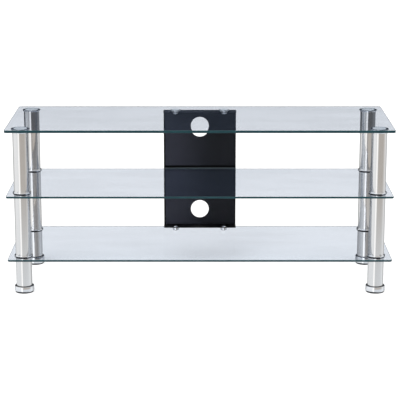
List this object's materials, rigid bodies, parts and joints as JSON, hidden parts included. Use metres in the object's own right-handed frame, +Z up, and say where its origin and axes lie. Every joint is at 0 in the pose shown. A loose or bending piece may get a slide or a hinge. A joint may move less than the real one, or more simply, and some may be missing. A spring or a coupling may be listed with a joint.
{
  "type": "glass television stand",
  "caption": "Low glass media stand with round steel posts, levelling feet and a folded sheet metal cable panel at the back.",
  "frame": {"origin": "on the floor under the middle of the stand, feet screwed fully in", "axes": "+X along the width to the right seen from the front, +Y to the rear where the cable panel stands, +Z up"},
  "size_m": [1.2, 0.42, 0.526],
  "materials": {
    "clear_glass": "clear tempered float glass with ground and polished edges",
    "polished_steel": "mirror polished stainless tube",
    "chrome": "bright chrome plate",
    "zinc_plated_steel": "zinc plated",
    "black_powder_coat": "satin black powder coat",
    "black_nylon": "moulded",
    "black_rubber": "matte"
  },
  "bodies": {
    "stand": {"top_glass": "clear_glass", "middle_glass": "clear_glass", "bottom_glass": "clear_glass", "upper_tube_inserts": "zinc_plated_steel", "lower_tube_inserts": "zinc_plated_steel", "foot_tube_inserts": "zinc_plated_steel", "bottom_glass_gaskets": "black_rubber", "middle_glass_gaskets": "black_rubber", "bonded_discs": "zinc_plated_steel", "bottom_glass_studs": "zinc_plated_steel", "middle_glass_studs": "zinc_plated_steel", "top_studs": "zinc_plated_steel", "cable_panel": "black_powder_coat", "upper_bosses": "chrome", "lower_bosses": "chrome", "upper_screws": "chrome", "lower_screws": "chrome", "glass_strip": "black_rubber", "front_left_upper_tube": "polished_steel", "front_left_lower_tube": "polished_steel", "front_left_foot_tube": "polished_steel", "front_left_top_collar": "chrome", "front_left_middle_collar": "chrome", "front_left_bottom_collar": "chrome", "front_right_upper_tube": "polished_steel", "front_right_lower_tube": "polished_steel", "front_right_foot_tube": "polished_steel", "front_right_top_collar": "chrome", "front_right_middle_collar": "chrome", "front_right_bottom_collar": "chrome", "rear_left_upper_tube": "polished_steel", "rear_left_lower_tube": "polished_steel", "rear_left_foot_tube": "polished_steel", "rear_left_top_collar": "chrome", "rear_left_middle_collar": "chrome", "rear_left_bottom_collar": "chrome", "rear_right_upper_tube": "polished_steel", "rear_right_lower_tube": "polished_steel", "rear_right_foot_tube": "polished_steel", "rear_right_top_collar": "chrome", "rear_right_middle_collar": "chrome", "rear_right_bottom_collar": "chrome"},
    "front_left_foot": {"front_left_foot_cup": "chrome", "front_left_foot_screw": "zinc_plated_steel", "front_left_foot_ring": "black_nylon", "front_left_foot_pad": "black_rubber"},
    "front_right_foot": {"front_right_foot_cup": "chrome", "front_right_foot_screw": "zinc_plated_steel", "front_right_foot_ring": "black_nylon", "front_right_foot_pad": "black_rubber"},
    "rear_left_foot": {"rear_left_foot_cup": "chrome", "rear_left_foot_screw": "zinc_plated_steel", "rear_left_foot_ring": "black_nylon", "rear_left_foot_pad": "black_rubber"},
    "rear_right_foot": {"rear_right_foot_cup": "chrome", "rear_right_foot_screw": "zinc_plated_steel", "rear_right_foot_ring": "black_nylon", "rear_right_foot_pad": "black_rubber"}
  },
  "joints": [
    {"name": "front_left_foot_level", "type": "slide", "parent": "stand", "child": "front_left_foot", "axis": [0, 0, -1], "range_m": [0, 0.01]},
    {"name": "front_right_foot_level", "type": "slide", "parent": "stand", "child": "front_right_foot", "axis": [0, 0, -1], "range_m": [0, 0.01]},
    {"name": "rear_left_foot_level", "type": "slide", "parent": "stand", "child": "rear_left_foot", "axis": [0, 0, -1], "range_m": [0, 0.01]},
    {"name": "rear_right_foot_level", "type": "slide", "parent": "stand", "child": "rear_right_foot", "axis": [0, 0, -1], "range_m": [0, 0.01]}
  ]
}
